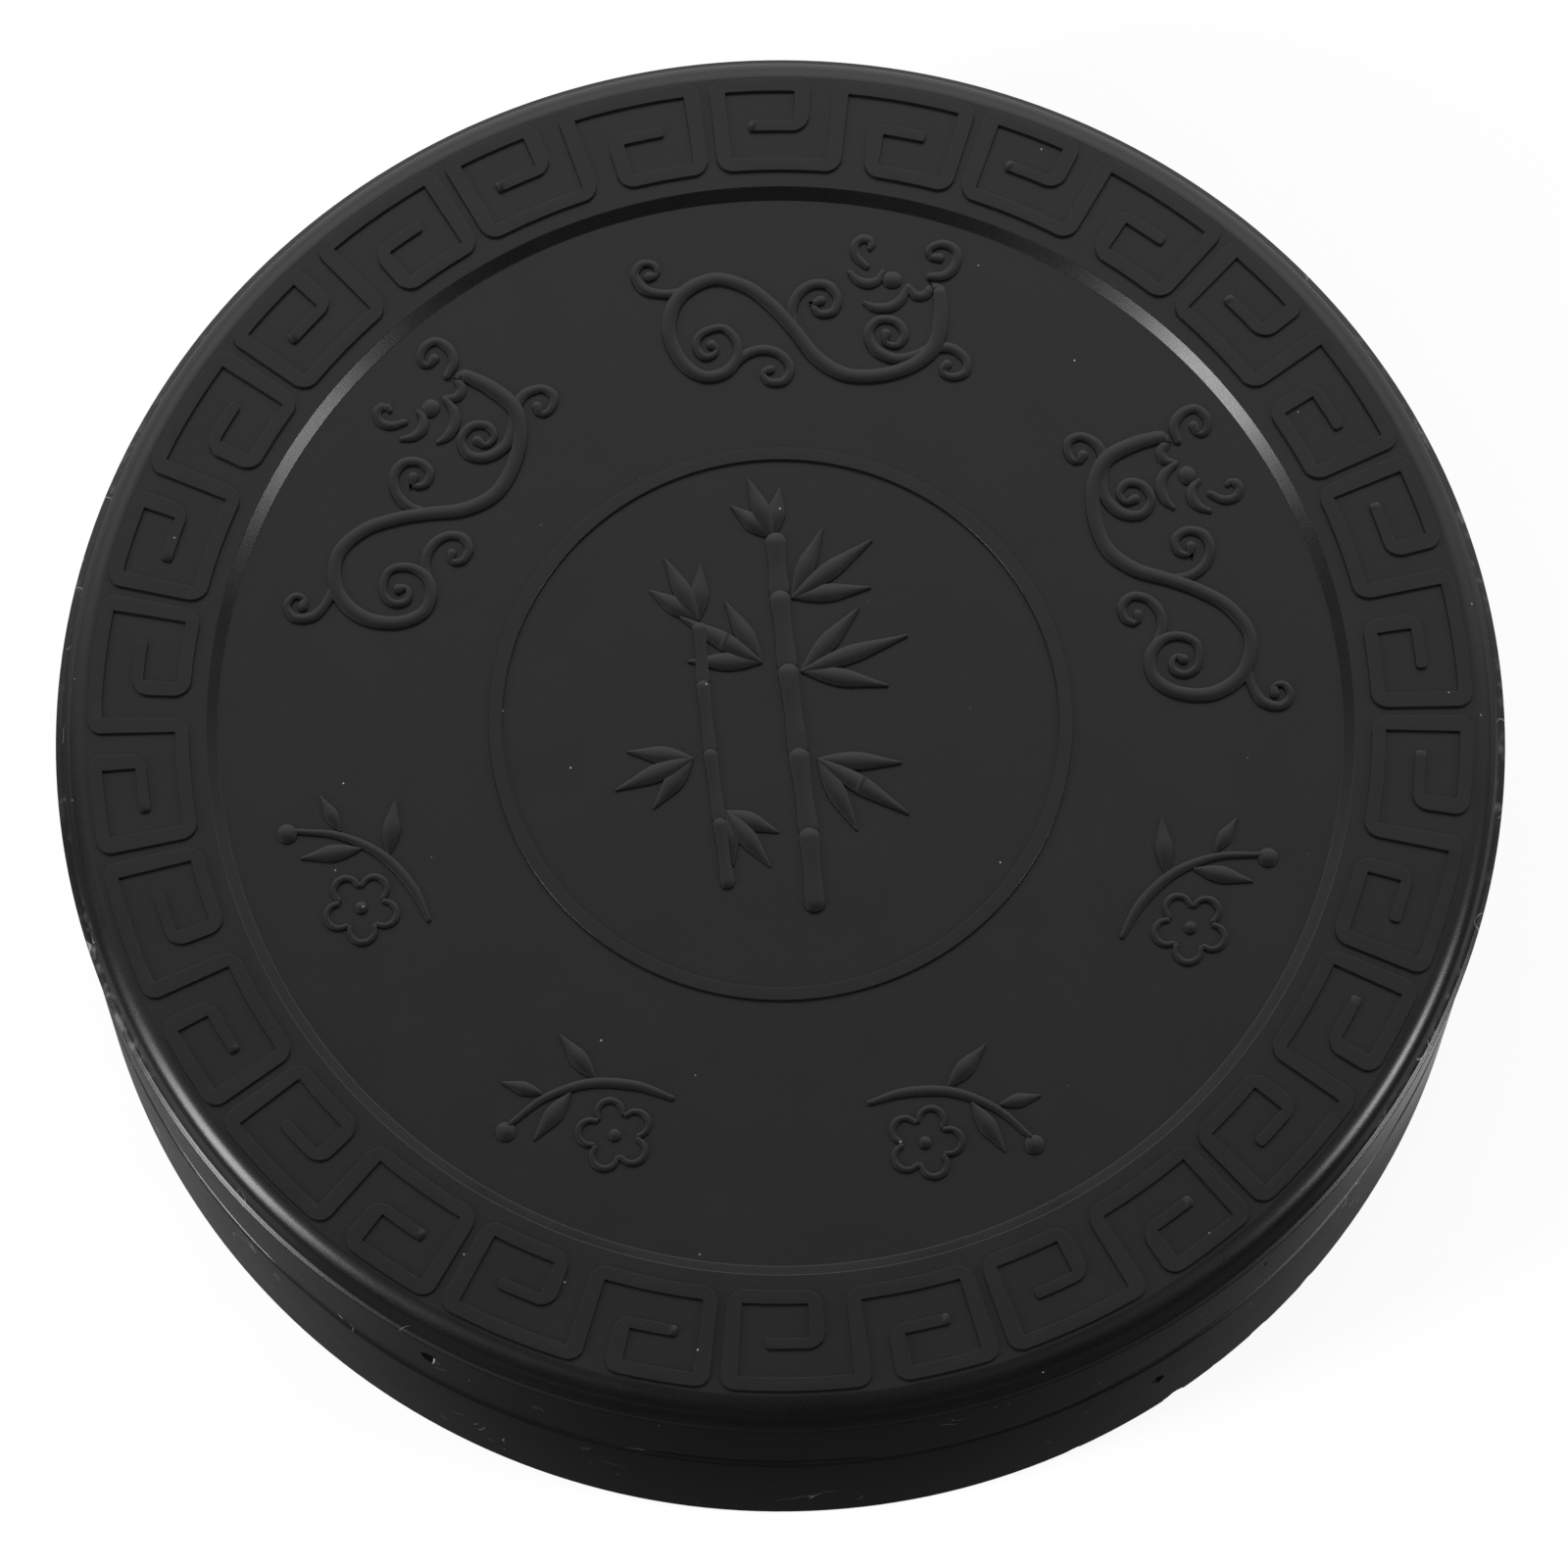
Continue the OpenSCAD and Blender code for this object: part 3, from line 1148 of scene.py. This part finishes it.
@dataclass
class Base:
    """The stone itself: a dish with a lip for the lid, a sloping grinding bed and a crescent ink well."""

    finish: StoneFinish
    foot: float
    seat: float
    radius: float
    side_lean: float = 0.25
    edge_rounding: float = 1.5
    seam_rounding: float = 0.4
    hollow_radius: float = 52.0
    hollow_height: float = 0.8
    lip_radius: float = 59.5
    lip_width: float = 3.0
    lip_height: float = 3.0
    lip_rounding: float = 0.8
    lip_foot_rounding: float = 0.3
    floor: float = 6.0
    well_rounding: float = 2.0
    bed_radius: float = 50.0
    bed_middle: float = -12.5
    bed_level: float = 15.0
    bed_depth: float = 12.0
    bed_slope: float = 2.0
    bed_rounding: float = 2.0

    def corners(self) -> list[Corner]:
        """The dish's cross-section, from the axis under the foot to the axis on the well's floor.

        Returns:
            The corners, in order.
        """
        basin = self.lip_radius - self.lip_width
        lip_top = self.seat + self.lip_height
        return [
            Corner(0, self.hollow_height),
            Corner(self.hollow_radius - self.hollow_height, self.hollow_height),
            Corner(self.hollow_radius, self.foot, 0.2),
            Corner(self.radius - self.side_lean, self.foot, self.edge_rounding),
            Corner(self.radius, self.seat, self.seam_rounding),
            Corner(self.lip_radius, self.seat, self.lip_foot_rounding),
            Corner(self.lip_radius, lip_top, self.lip_rounding),
            Corner(basin, lip_top, self.lip_rounding),
            Corner(basin, self.floor, self.well_rounding),
            Corner(0, self.floor),
        ]

    def bed(self) -> BMesh:
        """Turns the grinding bed and tilts it towards the well.

        Returns:
            The bed, in its place.
        """
        bm = turned([
            Corner(0, -self.bed_depth),
            Corner(self.bed_radius, -self.bed_depth),
            Corner(self.bed_radius, 0, self.bed_rounding),
            Corner(0, 0),
        ])
        tilt = Matrix.Rotation(math.radians(-self.bed_slope), 4, "X")
        bmesh.ops.transform(bm, matrix=Matrix.Translation((0, self.bed_middle, self.bed_level)) @ tilt,
                            verts=bm.verts)
        return bm

    def build(self) -> Object:
        """Joins the dish and the bed into one skin, chips it and has it stand for the base's solid.

        Returns:
            The piece.
        """
        bm = joined(turned(self.corners()), self.bed(), Join.UNION)
        piece = finish_piece(chipped(bm, BASE_CHIPS), "base_body", Body.BASE, self.finish)
        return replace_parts(piece, "base")


# The studio


@dataclass(frozen=True)
class Softbox:
    """A rectangular lamp that faces the stone, placed by its direction in degrees and its distance."""

    name: str
    azimuth: float
    elevation: float
    distance: float
    width: float
    height: float
    radiance: float

    def build(self, target: Vector) -> None:
        """Hangs the lamp and turns it to the target.

        Args:
            target: the middle of the lid.
        """
        lamp = bpy.data.lights.new(self.name, "AREA")
        lamp.shape = "RECTANGLE"
        lamp.size, lamp.size_y = self.width, self.height
        lamp.energy = self.radiance * math.pi * self.width * self.height
        holder = add_object(self.name, lamp)
        turn, rise = math.radians(self.azimuth), math.radians(self.elevation)
        way = Vector((math.cos(turn) * math.cos(rise), math.sin(turn) * math.cos(rise), math.sin(rise)))
        holder.location = target + way * self.distance
        holder.rotation_mode = "QUATERNION"
        holder.rotation_quaternion = way.to_track_quat("Z", "Y")


@dataclass(frozen=True)
class Pool:
    """A soft round patch of light on the floor as the stone's gloss sees it, in metres."""

    x: float
    y: float
    size: float
    level: float


@dataclass
class Studio:
    """The floor, the surroundings, the lamps and the camera, in metres.

    The stone's gloss sees its own brightness of the floor and of the sky overhead, which these values give.
    """

    target: Vector
    fill: float = 0.45
    overhead_left: float = 0.5
    overhead_right: float = 0.3
    overhead_front: float = 0.06
    floor_colour: float = 0.1
    floor_front: float = 0.02
    floor_left: float = 0.185
    floor_right: float = 0.12
    floor_edge: float = 0.5
    floor_foot: float = 1.65
    floor_far: float = 0.6
    floor_pools: tuple[Pool, ...] = (
        Pool(x=-0.115, y=-0.055, size=0.055, level=0.5),
        Pool(x=0.12, y=-0.02, size=0.07, level=0.36),
    )
    floor_reach: float = 0.068
    shadow_share: float = 0.2
    floor_radius: float = 6.0
    floor_gap: float = 0.00005
    camera_distance: float = 0.7326
    camera_elevation: float = 71.2
    camera_roll: float = 0.5
    aim_right: float = 0.00034
    aim_up: float = -0.00585
    lens: float = 187.65
    sensor: float = 36.0

    def views(self, graph: Graph) -> tuple[NodeSocket, NodeSocket]:
        """Tells the rays that show the white backdrop from the others.

        Args:
            graph: the nodes of the floor or the world.

        Returns:
            1 for the camera's rays and those through glass, and 1 for the rays of a gloss.
        """
        path = graph.add("LightPath").outputs
        return (graph.math("ADD", path["Is Camera Ray"], path["Is Transmission Ray"], clamp=True),
                path["Is Glossy Ray"])

    def world_gloss(self, graph: Graph) -> NodeSocket:
        """Gives the surroundings' brightness in the gloss: white behind, dim overhead and dark in front.

        Args:
            graph: the world's nodes.

        Returns:
            The brightness by direction.
        """
        across, way, rise = graph.x, graph.y, graph.z
        behind = graph.add("MapRange", {"Value": way, "From Min": 0.12, "From Max": 0.52}).outputs["Result"]
        height = graph.plus(rise, graph.times(way, 0.35))
        behind = graph.times(behind, graph.band(height, 0.06, 0.6, 0.3, 1))
        sides = graph.times(graph.band(graph.math("ABSOLUTE", across), 0.08, 0.4),
                            graph.band(across, -0.05, 0.05, self.overhead_left, self.overhead_right))
        overhead = graph.most(sides, graph.band(way, -0.4, 0.0, 0.0, self.overhead_front))
        return graph.most(behind, graph.times(overhead, graph.band(rise, 0.6, 0.9)))

    def build_world(self) -> None:
        """Surrounds the stone with dim soft light, which the camera sees as a white backdrop."""
        world = bpy.data.worlds.new("surroundings")
        bpy.context.scene.world = world
        graph = Graph(world, "Generated")
        clear, glossy = self.views(graph)
        fill = graph.math("SUBTRACT", self.fill, graph.times(glossy, self.fill))
        level = graph.plus(fill, graph.times(glossy, self.world_gloss(graph)))
        level = graph.most(clear, level)
        light = graph.add("CombineColor", {0: level, 1: level, 2: level}).outputs[0]
        shader = graph.add("Background", {"Color": light, "Strength": 1.0})
        graph.add("OutputWorld", {"Surface": shader.outputs[0]})

    def floor_gloss(self, graph: Graph) -> NodeSocket:
        """Gives the floor's brightness in the gloss: dark in front, dim at the sides and white behind.

        Args:
            graph: the floor's nodes.

        Returns:
            The brightness by place.
        """
        radius = graph.distance()
        share = graph.math("DIVIDE", graph.math("ABSOLUTE", graph.x), self.floor_reach, clamp=True)
        side = graph.band(graph.x, 0.0, 0.03, self.floor_left, self.floor_right)
        sides = graph.times(graph.math("POWER", share, 3.0), side)
        edge = graph.times(graph.band(graph.x, 0.058, 0.069),
                           graph.band(radius, 0.074, 0.085, self.floor_edge, 0))
        near = graph.plus(sides, graph.plus(edge, self.floor_front))
        near = graph.times(near, graph.band(radius, 0.0655, 0.0705, self.floor_foot, 1))
        near = graph.times(near, graph.band(radius, 0.074, 0.09, 1, self.floor_far))
        for pool in self.floor_pools:
            apart = graph.distance(pool.x, pool.y)
            near = graph.most(near, graph.band(apart, pool.size * 0.4, pool.size, pool.level, 0))
        behind = graph.plus(graph.band(graph.y, -0.01, 0.08, 0, 0.5), graph.band(graph.y, 0.08, 0.3, 0, 0.5))
        return graph.most(near, behind)

    def build_floor(self) -> None:
        """Lays a white floor that keeps the stone's soft shadow."""
        bm = bmesh.new()
        bmesh.ops.create_circle(bm, cap_ends=True, segments=64, radius=self.floor_radius)
        bmesh.ops.translate(bm, vec=(0, 0, -self.floor_gap), verts=bm.verts)
        floor = add_shape("floor", bm)
        material = bpy.data.materials.new("floor_white")
        floor.data.materials.append(material)
        graph = Graph(material)
        ground = graph.add("BsdfDiffuse", {"Color": (*(self.floor_colour,) * 3, 1)})
        shaded = graph.add("BsdfDiffuse", {"Color": (*(self.shadow_share,) * 3, 1)})
        glow = graph.add("Emission", {"Color": (1, 1, 1, 1), "Strength": 1 - self.shadow_share * 0.7})
        white = graph.add("AddShader", {0: shaded.outputs[0], 1: glow.outputs[0]})
        mirrored = graph.add("Emission", {"Color": (1, 1, 1, 1), "Strength": self.floor_gloss(graph)})
        clear, glossy = self.views(graph)
        dim = graph.add("MixShader", {0: glossy, 1: ground.outputs[0], 2: mirrored.outputs[0]})
        mix = graph.add("MixShader", {0: clear, 1: dim.outputs[0], 2: white.outputs[0]})
        graph.add("OutputMaterial", {"Surface": mix.outputs[0]})

    def build_lamps(self) -> None:
        """Hangs one upright softbox on each side and a wide dim panel behind."""
        lamps = (
            Softbox("lamp_left", azimuth=204, elevation=28, distance=0.9,
                    width=0.22, height=0.46, radiance=16.0),
            Softbox("lamp_right", azimuth=347, elevation=29, distance=0.9,
                    width=0.22, height=0.24, radiance=15.5),
            Softbox("panel_back", azimuth=95, elevation=38, distance=1.6,
                    width=2.6, height=1.0, radiance=0.4),
        )
        for lamp in lamps:
            lamp.build(self.target)

    def build_camera(self) -> None:
        """Stands the camera where the photograph was taken from."""
        data = bpy.data.cameras.new("camera")
        data.lens, data.sensor_width = self.lens, self.sensor
        data.clip_start, data.clip_end = 0.01, 50
        camera = add_object("camera", data)
        bpy.context.scene.camera = camera
        rise = math.radians(self.camera_elevation)
        back = Vector((0, -math.cos(rise), math.sin(rise)))
        up = Vector((0, math.sin(rise), math.cos(rise)))
        camera.location = self.target + back * self.camera_distance
        aim = self.target + Vector((self.aim_right, 0, 0)) + up * self.aim_up
        look = (aim - camera.location).to_track_quat("-Z", "Y").to_matrix().to_4x4()
        roll = Matrix.Rotation(math.radians(self.camera_roll), 4, "Z")
        camera.rotation_mode = "QUATERNION"
        camera.rotation_quaternion = (look @ roll).to_quaternion()

    def build(self) -> None:
        """Sets up the whole studio."""
        self.build_world()
        self.build_floor()
        self.build_lamps()
        self.build_camera()
        bpy.context.scene.view_settings.view_transform = "Standard"


def ornaments(finish: StoneFinish, level: float) -> Iterable[Ornament]:
    """Lists the ornaments on the sunk field.

    Args:
        finish: the lid's finish.
        level: the field's height.

    Yields:
        Each ornament, ready to build.
    """
    yield CloudScroll(finish, "cloud_scroll_top", level, 38.7, 87.2)
    yield CloudScroll(finish, "cloud_scroll_left", level, 38.63, 147.33)
    yield CloudScroll(finish, "cloud_scroll_right", level, 38.66, 22.72, Hand.MIRRORED)
    yield BambooSpray(finish, "bamboo_spray", level, step_down=0.004)
    for number, (angle, hand) in enumerate((
            (202, Hand.DRAWN), (246, Hand.DRAWN), (292, Hand.MIRRORED), (336, Hand.MIRRORED)), start=1):
        yield BlossomSprig(finish, f"blossom_sprig_{number}", level, 40.4, angle, hand)


def main() -> None:
    """Builds the stone from the foot up, and then the studio."""
    logging.basicConfig(level=logging.INFO, format="%(name)s: %(message)s")
    base_low, base_high = (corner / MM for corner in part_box("base"))
    lid_low, lid_high = (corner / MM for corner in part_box("lid"))
    # The base's finish paints a highlight line along its top edge at the seat's height.
    base_finish = StoneFinish(Slot.BASE, highlight_height=lid_low.z)
    lid_finish = StoneFinish(Slot.LID)

    Base(base_finish, foot=base_low.z, seat=lid_low.z, radius=base_high.x).build()
    relief = MeanderBorder.height
    lid = Lid(lid_finish, seat=lid_low.z, top=lid_high.z - relief, radius=lid_high.x)
    lid.build()
    MeanderBorder(lid_finish, lid.top).build()
    FieldRing(lid_finish, lid.field_level).build()
    for ornament in ornaments(lid_finish, lid.field_level):
        ornament.build()
    Studio(Vector((0, 0, lid.top * MM))).build()


if __name__ == "__main__":
    main()
